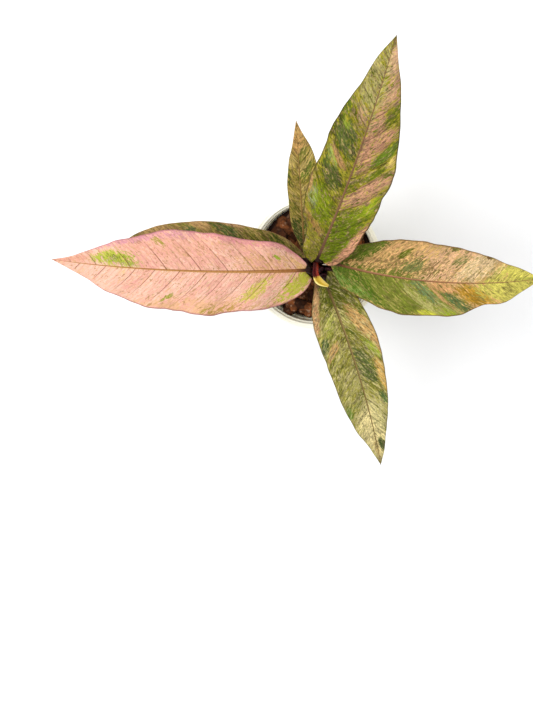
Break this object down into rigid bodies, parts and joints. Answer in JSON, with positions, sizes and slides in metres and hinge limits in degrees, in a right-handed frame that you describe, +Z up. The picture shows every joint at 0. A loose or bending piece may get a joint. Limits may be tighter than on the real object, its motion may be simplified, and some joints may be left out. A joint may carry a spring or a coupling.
{
  "type": "potted anthurium",
  "caption": "Variegated foliage anthurium with long pointed pink and green leaves spreading from a short crown, in a white round nursery pot filled with bark chips.",
  "frame": {"origin": "centre of the pot's foot, on the surface the pot stands on", "axes": "+Z up along the pot's axis; +X towards the leaf that points right in the picture; +Y towards the tall leaf that points up in the picture"},
  "size_m": [0.3629, 0.3183, 0.2232],
  "materials": {
    "ivory_plastic": "satin",
    "bark": "matte",
    "stem_tissue": "matte",
    "leaf_tissue_pink": "satin",
    "leaf_tissue_green": "satin",
    "shoot_tissue": "satin",
    "dry_sheath": "matte"
  },
  "bodies": {
    "root": {"pot": "ivory_plastic", "growing_mix": "bark", "stem": "stem_tissue", "leaf_left_long": "leaf_tissue_pink", "leaf_back_right_tall": "leaf_tissue_green", "leaf_right": "leaf_tissue_green", "leaf_front": "leaf_tissue_green", "leaf_back_small": "leaf_tissue_green", "leaf_left_low": "leaf_tissue_green", "new_shoot": "shoot_tissue", "old_sheath": "dry_sheath"}
  },
  "joints": []
}
